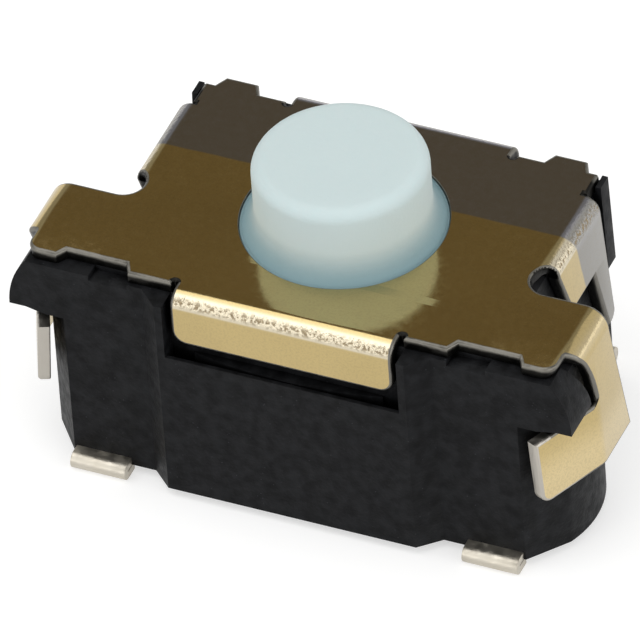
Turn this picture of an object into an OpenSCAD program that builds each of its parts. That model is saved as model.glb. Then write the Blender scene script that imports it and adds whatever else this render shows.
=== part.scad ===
// Surface-mount tactile push button switch with curled feet and a stamped, bent cover.
// Millimetres. +Z is up and the feet stand on z = 0. The button travels along the Z axis.
// +X runs along the long side, and the face with the two wings looks towards -Y.

/* [Housing] */
// Height of the moulding, from its underside to the sheet of the cover
housing_h = 2.43; // [2.1:0.01:3]
// Depth over the proud centre sections, front to back
centre_depth = 3.44; // [3.3:0.01:3.9]
// How far the centre sections stand out past the corner columns
centre_proud = 0.20; // [0.08:0.01:0.26]
// Width of each slanted step between a centre section and a column
step_w = 0.22; // [0.05:0.01:0.3]
// Inset of the front corners of the columns from the rounded ends
corner_inset = 0.42; // [0.36:0.01:0.6]
// Angle of the slanted corners beside the columns, seen from above
corner_angle = 51; // [40:1:60]
// Width over the rounded ends
end_span = 5.76; // [5.5:0.01:6.3]
// Radius of the rounded ends, seen from above
end_r = 1.14; // [1:0.01:1.3]
// Distance of the centres of the rounded ends in front of the button's axis
end_offset = 0.66; // [0.5:0.01:0.75]
// Distance of the rear limit of the rounded ends in front of the button's axis
end_back = 0.04; // [0:0.01:0.2]
// Width over the narrow rear half
rear_w = 4.30; // [4:0.01:4.5]
// Chamfer on the top edges of the moulding, inside the bends of the sheet
edge_chamfer = 0.06; // [0.04:0.01:0.12]
// Chamfer on the rear top edge of the proud centre section
rear_chamfer = 0.15; // [0.05:0.01:0.18]

/* [Wings and posts] */
// Height of the front wings under the sheet of the cover
wing_h = 0.61; // [0.4:0.01:0.75]
// How far the tips of the wings stand out past the end tabs
wing_out = 0.03; // [0:0.01:0.15]
// Radius of the rounded tips of the wings, seen from the front
wing_tip_r = 1.00; // [0.8:0.01:1.6]
// How much lower the wings are where they meet the columns
wing_lip = 0.045; // [0.01:0.005:0.1]
// Clearance between the tips of the wings and the front edges of the end tabs
wing_gap = 0.15; // [0.05:0.01:0.22]
// Length of the rear corner posts along the side
post_l = 0.19; // [0.15:0.01:0.4]
// How far the rear corner posts stand out from the side of the rear half
post_w = 0.11; // [0.05:0.01:0.2]
// Height of the rear corner posts under the sheet of the cover
post_h = 1.17; // [0.6:0.01:1.25]
// Inset of the rear corner posts from the rear face of the columns
post_inset = 0.02; // [0.01:0.01:0.1]

/* [Flange pockets] */
// Clearance beside the flange in its pocket
pocket_gap = 0.07; // [0.02:0.01:0.15]
// Wall between the pocket and the edge of the centre section
pocket_wall = 0.08; // [0.05:0.01:0.2]
// Depth of the pocket below the lower edge of the flange
pocket_drop = 0.19; // [0.05:0.01:0.4]
// Thickness of the lip along the front of the pocket
lip_t = 0.045; // [0.02:0.005:0.06]
// Depth of the groove behind the lip
groove_d = 0.16; // [0.05:0.01:0.4]
// Radius of the arched ledge in the groove
ledge_r = 5.0; // [4:0.1:10]
// Width of the arched ledge
ledge_w = 2.04; // [1:0.01:2.2]
// Setback of the arched ledge from the face of the centre section
ledge_setback = 0.07; // [0.065:0.005:0.12]

/* [Cover] */
// Thickness of the sheet
sheet_t = 0.13; // [0.08:0.01:0.16]
// Width of the front and rear flanges
flange_w = 2.40; // [1.8:0.01:2.6]
// Height of the front and rear flanges, from the top of the sheet
flange_h = 0.60; // [0.4:0.01:0.9]
// Inset of the flanges from the face of the centre section
flange_inset = 0.05; // [0.02:0.01:0.1]
// Clearance between each flange or flap and the moulding behind it
fold_gap = 0.02; // [0.01:0.005:0.05]
// Outer bend radius of the flanges
flange_bend_r = 0.17; // [0.165:0.005:0.25]
// Radius of the lower corners of the flanges
flange_corner_r = 0.16; // [0.05:0.01:0.2]
// Width of the relief slits at the ends of the flanges
slit_w = 0.06; // [0.03:0.01:0.1]
// Inset of the edges of the sheet from the faces of the columns
edge_inset = 0.05; // [0.02:0.01:0.12]
// Depth of the recess in the front edge, above the columns
recess_d = 0.13; // [0.02:0.01:0.16]
// Distance from the centre section to the recess in the front edge
recess_lead = 0.16; // [0.05:0.01:0.25]
// Width of the notch in the moulding under the recess
notch_w = 0.42; // [0.2:0.01:0.5]
// Height of the notch in the moulding under the recess
notch_h = 0.06; // [0.05:0.01:0.3]
// Depth of the notch in the moulding behind the face of the column
notch_d = 0.19; // [0.09:0.01:0.22]
// Width of the ears at the front corners
ear_w = 0.28; // [0.2:0.01:0.35]
// Length of the ears at the front corners, back to the end tabs
ear_l = 0.30; // [0.2:0.01:0.4]
// Radius of the ears at the front corners
ear_r = 0.10; // [0.02:0.01:0.14]
// Width of the small ears on the rear edge
rear_ear_w = 0.35; // [0.2:0.01:0.4]
// How far the small ears stand out from the rear edge
rear_ear_out = 0.14; // [0.03:0.01:0.18]
// Distance of the small ears from the side of the moulding
rear_ear_inset = 0.18; // [0.15:0.01:0.22]

/* [End tabs and hooks] */
// Outer bend radius of the end tabs
tab_bend_r = 0.24; // [0.18:0.01:0.26]
// Angle that the end tabs are bent through
tab_angle = 86.5; // [85:0.5:90]
// Height of the end tabs, from the top of the sheet
tab_h = 1.65; // [1.4:0.01:2.1]
// Clearance between the end tabs and the rounded ends
tab_gap = 0.01; // [0.01:0.01:0.08]
// Distance of the rear edge of the wings of the sheet in front of the button's axis
wing_back = 0.39; // [0.35:0.01:0.45]
// How far the rear edge of an end tab runs back towards its lower end
tab_flare = 0.19; // [0:0.01:0.25]
// Distance from the centre of the rounded end forward to the bend of the hook
hook_lead = 0.17; // [0.12:0.01:0.22]
// Outer bend radius of the hooks
hook_bend_r = 0.20; // [0.17:0.01:0.3]
// Angle that each hook is turned in round the corner of the moulding
hook_angle = 25; // [15:1:27]
// Length of each hook past its bend
hook_l = 0.80; // [0.4:0.01:0.92]
// Height of each hook
hook_h = 0.785; // [0.5:0.005:0.85]
// Radius of the lower corner of each hook
hook_corner_r = 0.13; // [0.05:0.01:0.3]

/* [Side flaps] */
// Outer bend radius of the side flaps
flap_bend_r = 0.18; // [0.18:0.01:0.28]
// Height of the short front part of the side flaps, from the top of the sheet
flap_h = 0.83; // [0.5:0.01:1.2]
// How far the front edge of the side flaps runs back towards its lower end
flap_slant = 0.27; // [0:0.01:0.35]
// Gap between the wings of the sheet and the side flaps
relief_w = 0.43; // [0.3:0.01:0.5]
// How far the round relief between them bites in past the bend of the flap
relief_bite = 0.01; // [0.01:0.01:0.1]
// Clearance between the side flaps and the rear corner posts
flap_gap = 0.17; // [0.14:0.01:0.2]
// Height of the rear leg of the side flaps, from the top of the sheet
leg_h = 1.73; // [1.3:0.01:2.2]
// Width of the leg at its root
leg_w = 0.25; // [0.2:0.01:0.5]
// Width of the leg at its tip
leg_tip_w = 0.17; // [0.14:0.01:0.19]
// How far the rear edge of the leg runs back towards its tip
leg_flare = 0.19; // [0:0.01:0.2]
// Radius of the rear corner of the leg's tip
leg_corner_r = 0.12; // [0.02:0.01:0.13]

/* [Button] */
// Diameter of the button head
button_d = 1.80; // [1.4:0.01:1.95]
// Height of the button head above the cover at rest
button_rise = 0.83; // [0.5:0.01:2]
// Travel of the button
travel = 0.25; // [0.12:0.01:0.4]
// Rounding of the top edge of the head
button_edge_r = 0.10; // [0.02:0.01:0.2]
// Radius of the concave flare at the foot of the head
flare_r = 0.35; // [0.2:0.01:0.5]
// How far the flare stands out from the head
flare_w = 0.13; // [0.05:0.01:0.16]
// How far the flare starts below the top of the sheet
flare_drop = 0.02; // [0:0.01:0.1]
// Running clearance round the neck and the skirt
button_gap = 0.03; // [0.01:0.005:0.05]
// Width of the shoulder that holds the button under the sheet
shoulder_w = 0.19; // [0.1:0.01:0.22]
// Wall of the skirt
skirt_t = 0.28; // [0.15:0.01:0.4]
// Height from the roof of the skirt's hollow up to the flare
roof_t = 0.45; // [0.3:0.01:0.8]
// Diameter of the nub that presses the dome
nub_d = 0.70; // [0.4:0.01:1]
// Chamfer at the end of the nub
nub_chamfer = 0.05; // [0.02:0.01:0.15]

/* [Contacts] */
// Thickness of the snap dome
dome_t = 0.05; // [0.03:0.005:0.08]
// Width of the flat rim of the snap dome
dome_rim_w = 0.10; // [0.05:0.01:0.2]
// Clearance between the snap dome and the wall of its chamber
dome_gap = 0.10; // [0.03:0.01:0.15]
// Thickness of the terminal strips
strip_t = 0.09; // [0.06:0.005:0.1]
// Height of the chamber floor above the underside of the moulding
floor_h = 0.40; // [0.36:0.01:0.55]
// Width of each foot
foot_w = 0.60; // [0.3:0.01:0.62]
// Inset of each foot from the side of its column
foot_inset = 0.025; // [0.02:0.005:0.1]
// How far the feet stand out past the columns
foot_reach = 0.19; // [0.13:0.005:0.24]
// Clearance between the foot tucked under the moulding and its underside
foot_gap = 0.01; // [0.005:0.005:0.08]
// How far each foot is tucked under, from the face of the column
foot_tuck = 0.06; // [0.04:0.01:0.6]
// Plastic between the face of the column and the rising part of the strip
foot_cover = 0.16; // [0.08:0.01:0.18]
// Width of the strip that joins the two feet of a terminal
side_w = 0.40; // [0.2:0.01:0.45]
// Distance of the crank of that strip in front of the button's axis
crank_y = 0.55; // [0.3:0.01:0.8]
// Length of the crank of that strip
crank_l = 0.50; // [0.2:0.01:0.6]
// Width of the ring inside the edge of the dome
ring_w = 0.20; // [0.1:0.01:0.3]
// Plastic left between the ring and the wall of the chamber
ring_inset = 0.02; // [0.01:0.005:0.025]
// Width of the link between the ring and its strip
link_w = 0.70; // [0.3:0.01:1]
// Width of the tongue to the centre pad
tongue_w = 0.50; // [0.2:0.01:0.58]
// Diameter of the pad under the middle of the dome
pad_d = 0.60; // [0.4:0.01:0.9]

/* [Hidden] */

$fn = 96;
eps = 0.01;
far = 8;

// Levels above the board
standoff = strip_t + foot_gap;
floor_z = standoff + floor_h;
cover_under_z = standoff + housing_h;
cover_top_z = cover_under_z + sheet_t;
wing_bottom_z = cover_under_z - wing_h;
pocket_floor_z = cover_top_z - flange_h - pocket_drop;

// Main lines of the housing, measured from the button's axis
face_y = centre_depth / 2;
column_y = face_y - centre_proud;
rear_x = rear_w / 2;
centre_x = flange_w / 2 + pocket_gap + pocket_wall;
step_x = centre_x + step_w;
end_x = end_span / 2;
column_x = end_x - corner_inset;
end_centre = [end_x - end_r, -end_offset];

// Lines of the cover, where the flat of the sheet ends and each bend starts
flange_face_y = face_y - flange_inset;
flange_line_y = flange_face_y - flange_bend_r;
tab_face_x = end_x + tab_gap + sheet_t;
tab_line_x = tab_face_x - tab_bend_r;
flap_face_x = rear_x + fold_gap + sheet_t;
flap_line_x = flap_face_x - flap_bend_r;
edge_y = column_y - edge_inset;

// Front corners of the sheet
small_step = 0.02;
ear_slope = 0.07;
ear_x = tab_line_x + small_step;
ear_front_y = small_step - edge_y;
ear_back_y = ear_front_y + ear_l;

// End tabs and hooks
tab_top_z = cover_top_z - small_step;
tab_flat = tab_h - tab_bend_r;
hook_y = -end_offset - hook_lead;
hook_top_z = cover_top_z - tab_h + hook_h;
tab_front_y = hook_y - small_step;

// Side flaps and rear corner posts
post_back_y = column_y - post_inset;
post_front_y = post_back_y - post_l;
post_tip_x = rear_x + post_w;
post_bottom_z = cover_under_z - post_h;
post_top_z = cover_top_z - 2 * small_step;
flap_front_y = relief_w - wing_back;
flap_back_y = post_front_y - flap_gap;

// Button and its chamber
head_r = button_d / 2;
neck_r = head_r + flare_w;
hole_r = neck_r + button_gap;
skirt_r = neck_r + shoulder_w;
chamber_r = skirt_r + button_gap;
shoulder_z = cover_under_z - button_gap;
flare_z = cover_top_z - flare_drop;
flare_angle = acos(1 - flare_w / flare_r);
head_top_z = cover_top_z + button_rise;

// Snap dome: it lies flat on the pad at the end of the travel
dome_r = chamber_r - dome_gap;
dome_top_z = floor_z + travel + dome_t;

// Terminals
curl_r = (standoff + strip_t) / 2;
curl_y = column_y + foot_reach - curl_r;
riser_y = column_y - foot_cover;
front_foot_x = column_x - foot_inset - foot_w / 2;
rear_foot_x = rear_x - foot_inset - foot_w / 2;
ring_outer_r = chamber_r - ring_inset;
ring_inner_r = dome_r - ring_w;
tongue_z = floor_z - 3 * strip_t;

// Points along an arc about c, from angle a0 to a1
function arc_points(c, r, a0, a1, n = 8) =
    [for (i = [0:n]) c + r * [cos(a0 + (a1 - a0) * i / n), sin(a0 + (a1 - a0) * i / n)]];

// Front edge of the end tab: it sweeps back from the ear and levels off above the hook
function sweep_y(s) = ear_back_y + (tab_front_y - ear_back_y) * (1 - (1 - s) * (1 - s));
sweep_step = 1 / 8;
function sweep_z(s) = tab_top_z + (hook_top_z - tab_top_z) * s;

// The same shape on the left and on the right
module both_sides() {
    children();
    mirror([1, 0, 0]) children();
}

// The same shape at the front and at the back
module front_and_back() {
    children();
    mirror([0, 1, 0]) children();
}

// A profile drawn in x and z, run along y between two values
module along_y(y0, y1) {
    translate([0, y1, 0]) rotate([90, 0, 0]) linear_extrude(height = y1 - y0) children();
}

// A profile drawn in y and z, run along x between two values
module along_x(x0, x1) {
    translate([x0, 0, 0]) rotate([90, 0, 90]) linear_extrude(height = x1 - x0) children();
}

// Right half of the core in plan: the proud centre sections and the narrow rear half
module core_plan() {
    polygon([
        [-eps, -face_y],
        [centre_x, -face_y],
        [step_x, -column_y],
        [rear_x, -column_y],
        [rear_x, column_y],
        [step_x, column_y],
        [centre_x, face_y],
        [-eps, face_y],
    ]);
}

// Right front column in plan, with its slanted corner and the rounded end beside it
module end_plan() {
    corner = [column_x, -column_y];
    slant = [cos(corner_angle), sin(corner_angle)];
    intersection() {
        union() {
            translate(end_centre) circle(r = end_r);
            translate([0, -column_y]) square([column_x, column_y - end_offset]);
        }
        polygon([[0, -column_y], corner, corner + far * slant, [0, far]]);
        translate([0, -column_y]) square([far, column_y - end_back]);
    }
}

// Front wing: rounded at its tip, and cut back behind the front edge of the end tab
module front_wing() {
    tip_x = tab_face_x + wing_out;
    inner_x = tab_face_x - sheet_t - fold_gap;
    tip_angle = asin(wing_h / wing_tip_r);
    intersection() {
        along_y(-column_y, -wing_back)
            polygon(concat(
                [
                    [0, wing_bottom_z - wing_lip],
                    [(column_x + inner_x) / 2, wing_bottom_z - wing_lip],
                    [inner_x, wing_bottom_z],
                ],
                arc_points([tip_x - wing_tip_r, wing_bottom_z], wing_tip_r, 0, tip_angle),
                [[0, cover_under_z]]
            ));
        union() {
            along_x(0, tip_x + eps)
                polygon(concat(
                    [[-column_y, cover_top_z], [-column_y, 0], [tab_front_y - wing_gap, 0]],
                    [for (s = [1:-sweep_step:0]) [sweep_y(s) - wing_gap, sweep_z(s)]]
                ));
            along_y(-column_y, -wing_back)
                polygon([
                    [0, 0],
                    [inner_x, 0],
                    [inner_x, cover_top_z - tab_bend_r - fold_gap],
                    [tab_line_x - fold_gap, cover_under_z],
                    [0, cover_under_z],
                ]);
        }
    }
}

// Rear corner post: it widens downwards, and its top stands beside the corner of the sheet
module rear_post() {
    slant_h = 0.20;
    taper = 0.03;
    top_in_x = rear_x + fold_gap;
    along_y(post_front_y, post_back_y)
        polygon([
            [0, post_bottom_z],
            [rear_x, post_bottom_z],
            [post_tip_x, post_bottom_z + slant_h],
            [post_tip_x - taper, post_top_z],
            [top_in_x, post_top_z],
            [top_in_x, cover_under_z],
            [0, cover_under_z],
        ]);
}

// Chamfer along a straight top edge, drawn as the corner that is cut away at x = 0
module edge_cut(size = edge_chamfer) {
    polygon([
        [eps, cover_under_z + eps],
        [-size - eps, cover_under_z + eps],
        [eps, cover_under_z - size - eps],
    ]);
}

// Pocket for a flange: a lip along its front, a groove behind it and an arched ledge
module flange_pocket() {
    half_w = flange_w / 2 + pocket_gap;
    back_y = flange_face_y - sheet_t - fold_gap;
    groove_z = pocket_floor_z - groove_d;
    along_x(-half_w, half_w) mirror([1, 0]) translate([back_y, 0]) edge_cut();
    difference() {
        translate([-half_w, -far, groove_z]) cube([2 * half_w, far - back_y, far]);
        translate([-far / 2, lip_t - face_y - far, groove_z - eps]) cube([far, far, groove_d + eps]);
        intersection() {
            translate([0, ledge_r + ledge_setback - face_y, groove_z - eps])
                cylinder(h = groove_d + eps, r = ledge_r);
            translate([-ledge_w / 2, -face_y, 0]) cube([ledge_w, face_y, far]);
        }
    }
}

// Notch in the top edge of a column, under the recess in the front edge of the sheet
module edge_notch() {
    translate([step_x + recess_lead, -column_y - eps, cover_under_z - notch_h])
        cube([notch_w, notch_d + eps, notch_h + eps]);
}

module housing() {
    color("#26272a")
        difference() {
            both_sides() {
                translate([0, 0, standoff]) linear_extrude(height = housing_h) core_plan();
                translate([0, 0, standoff])
                    linear_extrude(height = housing_h - wing_h) end_plan();
                front_wing();
                rear_post();
            }
            front_and_back() flange_pocket();
            along_x(-step_x, step_x) translate([face_y, 0]) edge_cut(rear_chamfer);
            both_sides() {
                edge_notch();
                along_y(-wing_back, post_front_y) translate([rear_x, 0]) edge_cut();
            }
            translate([0, 0, floor_z]) cylinder(h = far, r = chamber_r);
            outer_terminal_form();
            centre_terminal_form();
        }
}

// Section of a bend through angle a, outer radius r, with a short flat lead at each end
module bend_profile(r, a) {
    intersection() {
        difference() {
            circle(r = r);
            circle(r = r - sheet_t);
        }
        polygon(concat([[0, 0]], arc_points([0, 0], 2 * r, 90 - a, 90, 2)));
    }
    translate([-eps, r - sheet_t]) square([eps, sheet_t]);
    rotate(-a) translate([0, r - sheet_t]) square([eps, sheet_t]);
}

// A bend about the y axis that starts at x = 0 with the outer face at z = 0. What is drawn
// in children lies on the far side of the bend, its outer face at z = 0.
module fold(r, a, len) {
    translate([0, 0, -r]) {
        rotate([90, 0, 0]) linear_extrude(height = len, center = true) bend_profile(r, a);
        rotate([0, a, 0]) translate([0, 0, r]) children();
    }
}

// Flat sheet of a given outline, its outer face at z = 0
module sheet() {
    translate([0, 0, -sheet_t]) linear_extrude(height = sheet_t) children();
}

// Right half of the flat of the cover
module cover_outline() {
    root_x = flange_w / 2;
    recess_x = step_x + recess_lead;
    recess_end_x = ear_x - ear_w;
    relief_r = relief_w / 2;
    relief_c = [flap_line_x - relief_bite + relief_r, relief_r - wing_back];
    relief_end = acos((flap_line_x - relief_c.x) / relief_r) - 360;
    rear_ear_x = rear_x - rear_ear_inset;
    polygon(concat(
        [
            [-eps, -flange_line_y],
            [root_x, -flange_line_y],
            [root_x, slit_w - flange_line_y],
            [root_x + slit_w, slit_w - flange_line_y],
            [root_x + slit_w, -edge_y],
            [recess_x, -edge_y],
            [recess_x + ear_slope, recess_d - edge_y],
            [recess_end_x - ear_slope, recess_d - edge_y],
            [recess_end_x, ear_front_y],
        ],
        arc_points([ear_x - ear_r, ear_front_y + ear_r], ear_r, -90, 0),
        [
            [ear_x, ear_back_y],
            [tab_line_x, ear_back_y],
            [tab_line_x, -wing_back],
        ],
        arc_points(relief_c, relief_r, -90, relief_end),
        [
            [flap_line_x, flap_back_y],
            [rear_x, flap_back_y],
            [rear_x, edge_y - small_step],
            [rear_x - small_step, edge_y],
            [rear_ear_x + ear_slope, edge_y],
            [rear_ear_x, edge_y + rear_ear_out],
            [rear_ear_x - rear_ear_w, edge_y + rear_ear_out],
            [rear_ear_x - rear_ear_w - ear_slope, edge_y],
            [root_x + slit_w, edge_y],
            [root_x + slit_w, flange_line_y - slit_w],
            [root_x, flange_line_y - slit_w],
            [root_x, flange_line_y],
            [-eps, flange_line_y],
        ]
    ));
}

// Front or rear flange
module flange() {
    drop = flange_h - flange_bend_r;
    half = flange_w / 2;
    r = flange_corner_r;
    translate([0, -flange_line_y, cover_top_z])
        rotate([0, 0, -90])
            fold(flange_bend_r, 90, flange_w)
                sheet()
                    polygon(concat(
                        [[0, -half]],
                        arc_points([drop - r, r - half], r, -90, 0),
                        arc_points([drop - r, half - r], r, 0, 90),
                        [[0, half]]
                    ));
}

// Hook that turns in round the front corner of the moulding, drawn on the end tab
module hook() {
    half = hook_h / 2;
    r = hook_corner_r;
    translate([tab_flat - half, hook_y, 0])
        rotate([0, 0, -90])
            fold(hook_bend_r, hook_angle, hook_h)
                sheet()
                    polygon(concat(
                        [[0, -half], [hook_l, -half]],
                        arc_points([hook_l - r, half - r], r, 0, 90),
                        [[0, half]]
                    ));
}

// End tab, bent down from the wing of the sheet and wider towards its lower end
module end_tab() {
    blank_w = -ear_back_y;
    intersection() {
        translate([tab_line_x, -blank_w / 2, cover_top_z])
            fold(tab_bend_r, tab_angle, blank_w)
                sheet() translate([0, -blank_w / 2]) square([tab_flat, blank_w]);
        along_x(tab_line_x - eps, far)
            polygon(concat(
                [[ear_back_y, cover_top_z + eps]],
                [for (s = [0:sweep_step:1]) [sweep_y(s), sweep_z(s)]],
                [
                    [hook_y, hook_top_z - small_step],
                    [hook_y, 0],
                    [tab_flare - wing_back, 0],
                    [tab_flare - wing_back, cover_top_z - tab_h],
                    [-wing_back, cover_top_z - tab_bend_r],
                    [-wing_back, cover_top_z + eps],
                ]
            ));
    }
    translate([tab_line_x, 0, cover_top_z - tab_bend_r])
        rotate([0, tab_angle, 0])
            translate([0, 0, tab_bend_r]) hook();
}

// Side flap of the narrow rear half: a short strip with one long leg at its back
module side_flap() {
    flap_l = flap_back_y - flap_front_y;
    middle_y = flap_front_y + flap_l / 2;
    short = flap_h - flap_bend_r;
    long = leg_h - flap_bend_r;
    tip_y = flap_back_y + leg_flare;
    r = leg_corner_r;
    translate([flap_line_x, middle_y, cover_top_z])
        fold(flap_bend_r, 90, flap_l)
            translate([0, -middle_y, 0])
                sheet()
                    polygon(concat(
                        [
                            [0, flap_front_y],
                            [short, flap_front_y + flap_slant],
                            [short, flap_back_y - leg_w],
                            [long, tip_y - leg_tip_w],
                        ],
                        arc_points([long - r, tip_y - r], r, 0, 90),
                        [[0, flap_back_y]]
                    ));
}

module cover() {
    color("#b79a57")
        difference() {
            union() {
                both_sides() {
                    translate([0, 0, cover_top_z]) sheet() cover_outline();
                    end_tab();
                    side_flap();
                }
                front_and_back() flange();
            }
            cylinder(h = far, r = hole_r);
        }
}

// The head comes up through the hole, and the shoulder holds the button under the sheet
module button() {
    nub_r = nub_d / 2;
    roof_z = flare_z - roof_t;
    skirt_z = dome_top_z + travel;
    color("#cfe4ea")
        rotate_extrude()
            polygon(concat(
                [
                    [0, dome_top_z],
                    [nub_r - nub_chamfer, dome_top_z],
                    [nub_r, dome_top_z + nub_chamfer],
                    [nub_r, roof_z],
                    [skirt_r - skirt_t, roof_z],
                    [skirt_r - skirt_t, skirt_z],
                    [skirt_r, skirt_z],
                    [skirt_r, shoulder_z],
                    [neck_r, shoulder_z],
                ],
                arc_points(
                    [head_r + flare_r, flare_z + flare_r * sin(flare_angle)],
                    flare_r, flare_angle - 180, -180
                ),
                arc_points([head_r - button_edge_r, head_top_z - button_edge_r], button_edge_r, 0, 90),
                [[0, head_top_z]]
            ));
}

// Dished spring disc that snaps through onto the centre pad
module snap_dome() {
    cap_r = dome_r - dome_rim_w;
    sphere_r = (cap_r * cap_r + travel * travel) / (2 * travel);
    half_angle = asin(cap_r / sphere_r);
    centre = [0, floor_z + travel - sphere_r];
    color("#c9c9c4")
        rotate_extrude()
            polygon(concat(
                arc_points(centre, sphere_r, 90, 90 - half_angle),
                [[dome_r, floor_z], [dome_r, floor_z + dome_t]],
                arc_points(centre, sphere_r + dome_t, 90 - half_angle, 90)
            ));
}

// One foot: down inside the column, out along its lower edge and curled under
module foot_profile() {
    translate([-riser_y, standoff]) square([strip_t, floor_h]);
    translate([-curl_y, standoff]) square([curl_y - riser_y + eps, strip_t]);
    translate([-curl_y, 0]) square([curl_y - column_y + foot_tuck, strip_t]);
    intersection() {
        translate([-curl_y, curl_r])
            difference() {
                circle(r = curl_r);
                circle(r = curl_r - strip_t);
            }
        translate([-curl_y - far, 0]) square([far, far]);
    }
}

// Both feet of the terminal on the right
module feet() {
    half = foot_w / 2;
    along_x(front_foot_x - half, front_foot_x + half) foot_profile();
    along_x(rear_foot_x - half, rear_foot_x + half) mirror([1, 0]) foot_profile();
}

// Strip between the feet of the terminal on the right, cranked round the chamber
module side_strip() {
    half = side_w / 2;
    start_y = -crank_y - crank_l / 2;
    end_y = -crank_y + crank_l / 2;
    translate([0, 0, floor_z - strip_t])
        linear_extrude(height = strip_t)
            polygon([
                [front_foot_x - half, -riser_y],
                [front_foot_x + half, -riser_y],
                [front_foot_x + half, start_y],
                [rear_foot_x + half, end_y],
                [rear_foot_x + half, riser_y],
                [rear_foot_x - half, riser_y],
                [rear_foot_x - half, end_y],
                [front_foot_x - half, start_y],
            ]);
}

// Left terminal: a ring under the rim of the dome, joined to two feet
module outer_terminal_form() {
    mirror([1, 0, 0]) {
        feet();
        side_strip();
        translate([0, 0, floor_z - strip_t])
            linear_extrude(height = strip_t)
                difference() {
                    union() {
                        circle(r = ring_outer_r);
                        translate([0, -link_w / 2]) square([rear_foot_x, link_w]);
                    }
                    circle(r = ring_inner_r);
                }
    }
}

module outer_terminal() {
    color("#c6c2b8") outer_terminal_form();
}

// Right terminal: a tongue that runs under the ring and rises to the centre pad
module centre_terminal_form() {
    rise = floor_z - tongue_z;
    feet();
    side_strip();
    translate([0, 0, tongue_z]) {
        translate([0, -tongue_w / 2, 0]) cube([rear_foot_x, tongue_w, strip_t]);
        translate([rear_foot_x - side_w / 2, -tongue_w / 2, 0]) cube([strip_t, tongue_w, rise]);
        cylinder(h = rise, d = pad_d);
    }
}

module centre_terminal() {
    color("#c6c2b8") centre_terminal_form();
}

housing();
cover();
button();
snap_dome();
outer_terminal();
centre_terminal();
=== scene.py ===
"""Looks of a surface-mount tactile push button switch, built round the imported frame.

Lengths are millimetres, as in the part's source, and each mesh is scaled to metres when it
is made. Only the studio round the switch is in metres. Angles are degrees, apart from those
that come out of math.radians. Depth d is measured from the outer face of the sheet inwards.
Names end in W for a width, H for a height, D for a depth, L for a length, R for a radius and
T for a thickness.
"""

import math

import bmesh
import bpy
from mathutils import Matrix, Vector


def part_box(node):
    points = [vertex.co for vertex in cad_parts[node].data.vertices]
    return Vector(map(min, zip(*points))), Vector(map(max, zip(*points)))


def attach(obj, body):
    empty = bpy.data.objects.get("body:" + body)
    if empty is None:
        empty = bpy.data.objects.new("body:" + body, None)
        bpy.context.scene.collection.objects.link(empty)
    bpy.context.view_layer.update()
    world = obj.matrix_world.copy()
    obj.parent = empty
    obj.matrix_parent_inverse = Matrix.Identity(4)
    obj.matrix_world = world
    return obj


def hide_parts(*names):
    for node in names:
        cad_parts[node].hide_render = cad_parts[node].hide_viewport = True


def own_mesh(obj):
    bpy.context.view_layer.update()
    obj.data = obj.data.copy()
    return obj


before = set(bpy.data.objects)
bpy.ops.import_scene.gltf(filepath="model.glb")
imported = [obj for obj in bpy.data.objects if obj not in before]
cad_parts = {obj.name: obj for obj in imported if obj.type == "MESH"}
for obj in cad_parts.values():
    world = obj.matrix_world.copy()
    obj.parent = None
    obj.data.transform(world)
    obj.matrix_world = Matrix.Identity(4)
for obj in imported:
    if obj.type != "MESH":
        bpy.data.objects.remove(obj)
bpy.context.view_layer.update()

MM = 0.001


def node_box(name):
    """Lowest and highest corner of a CAD node, in millimetres."""
    low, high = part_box(name)
    return low / MM, high / MM


# Main sizes, read from the frame
housing_low, housing_high = node_box("housing")
cover_high = node_box("cover")[1]
button_low, button_high = node_box("button")
dome_high = node_box("snap_dome")[1]
terminal_high = node_box("centre_terminal")[1]
COVER_TOP = cover_high.z
SHEET = 0.13
COVER_UNDER = COVER_TOP - SHEET
POST_TOP = housing_high.z
UNDERSIDE = housing_low.z
FACE_Y = housing_high.y
WING_TIP_X = housing_high.x
HEAD_TOP = button_high.z
SKIRT_R = button_high.x
DOME_R = dome_high.x
FLOOR_Z = terminal_high.z

# Housing
COLUMN_Y = 1.52
CENTRE_X = 1.35
STEP_X = 1.57
COLUMN_X = 2.46
CORNER_ANGLE = 51
END_R = 1.14
END_CENTRE = (1.74, -0.66)
END_BACK = 0.04
REAR_X = 2.15
WING_H = 0.61
WING_BOTTOM = COVER_UNDER - WING_H
WING_TIP_R = 1.00
WING_LIP = 0.045
WING_GAP = 0.15
WING_INSET = 1.15 * SHEET
POST_FRONT, POST_BACK, POST_TIP_X = 1.31, 1.50, 2.26
POST_H, POST_SLANT, POST_TAPER, POST_INNER_X = 1.17, 0.20, 0.03, 2.17
POCKET_HALF_W = 1.27
POCKET_BACK = 1.52
POCKET_FLOOR = 1.87
GROOVE_D = 0.16
LIP = 0.045
LEDGE_R, LEDGE_HALF_W, LEDGE_SETBACK = 5.0, 1.02, 0.07
NOTCH_W, NOTCH_H, NOTCH_D = 0.42, 0.06, 0.19
CHAMBER_R = 1.25
EDGE_CHAMFER, REAR_CHAMFER = 0.06, 0.15

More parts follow.
